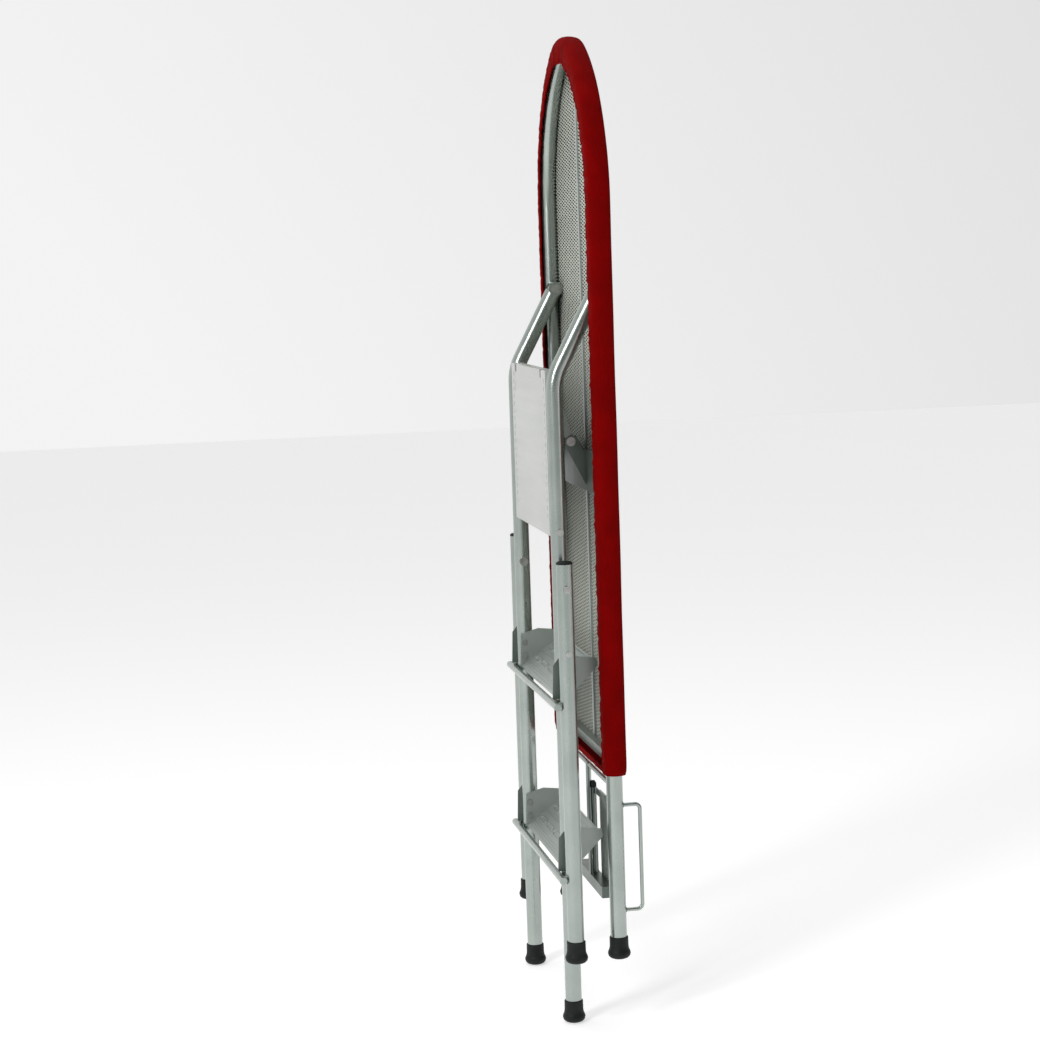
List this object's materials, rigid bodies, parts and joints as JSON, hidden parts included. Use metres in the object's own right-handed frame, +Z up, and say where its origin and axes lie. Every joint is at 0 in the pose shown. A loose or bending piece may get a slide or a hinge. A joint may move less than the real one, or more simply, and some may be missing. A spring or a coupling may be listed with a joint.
{
  "type": "ironing board with folding step ladder",
  "caption": "Folding ironing board with a padded red cloth cover whose tube frame also opens into a step ladder, folded and standing.",
  "frame": {"origin": "on the floor under the middle of the folded object's bounding box", "axes": "+Z up along the board towards the nose, +X out of the padded face, Y across the width"},
  "size_m": [0.1334, 0.425, 1.5029],
  "materials": {
    "grey_paint": "satin",
    "rubber": "matte",
    "zinc": "satin",
    "cloth": "matte",
    "felt": "matte"
  },
  "bodies": {
    "ladder": {"stile_right": "grey_paint", "stile_left": "grey_paint", "tread_lower": "grey_paint", "tread_upper": "grey_paint", "tread_side_plates": "grey_paint", "tread_rivets": "zinc", "ladder_feet": "rubber", "board_pins": "zinc", "pivot_washers": "zinc", "prop_pins": "zinc", "prop_bushes": "rubber", "platform_pins": "zinc", "platform_bushes": "rubber"},
    "platform": {"platform": "grey_paint"},
    "link": {"link_straps": "grey_paint"},
    "board": {"rail_right": "grey_paint", "rail_left": "grey_paint", "nose_bow": "grey_paint", "mesh_top": "grey_paint", "centre_rib": "grey_paint", "end_member": "grey_paint", "end_rod": "grey_paint", "link_bracket": "grey_paint", "bracket_rivets": "zinc", "link_pins": "zinc", "pad": "felt", "cover": "cloth", "cover_hem": "cloth", "iron_rest": "grey_paint", "iron_rest_post": "grey_paint", "iron_rest_cap": "rubber", "hoop_right": "grey_paint", "hoop_left": "grey_paint", "board_feet": "rubber"},
    "prop": {"prop_right": "grey_paint", "prop_left": "grey_paint", "prop_rods": "grey_paint", "prop_plugs": "rubber", "prop_feet": "rubber", "prop_spacers": "zinc"}
  },
  "joints": [
    {"name": "board_fold", "type": "hinge", "parent": "ladder", "child": "board", "pos_m": [0.0252, 0, 1.116], "axis": [0, -1, 0], "range_deg": [0, 60]},
    {"name": "platform_fold", "type": "hinge", "parent": "ladder", "child": "platform", "pos_m": [-0.0428, 0, 0.758], "axis": [0, 1, 0], "range_deg": [0, 57]},
    {"name": "link_swing", "type": "hinge", "parent": "board", "child": "link", "pos_m": [-0.0098, 0, 0.889], "axis": [0, -1, 0], "range_deg": [-18, 0]},
    {"name": "prop_fold", "type": "hinge", "parent": "ladder", "child": "prop", "pos_m": [-0.0428, 0, 0.676], "axis": [0, 1, 0], "range_deg": [0, 80]}
  ],
  "couplings": [
    {"joint": "platform_fold", "follows": "board_fold", "ratio": 0.95},
    {"joint": "link_swing", "follows": "board_fold", "ratio": -0.3}
  ]
}
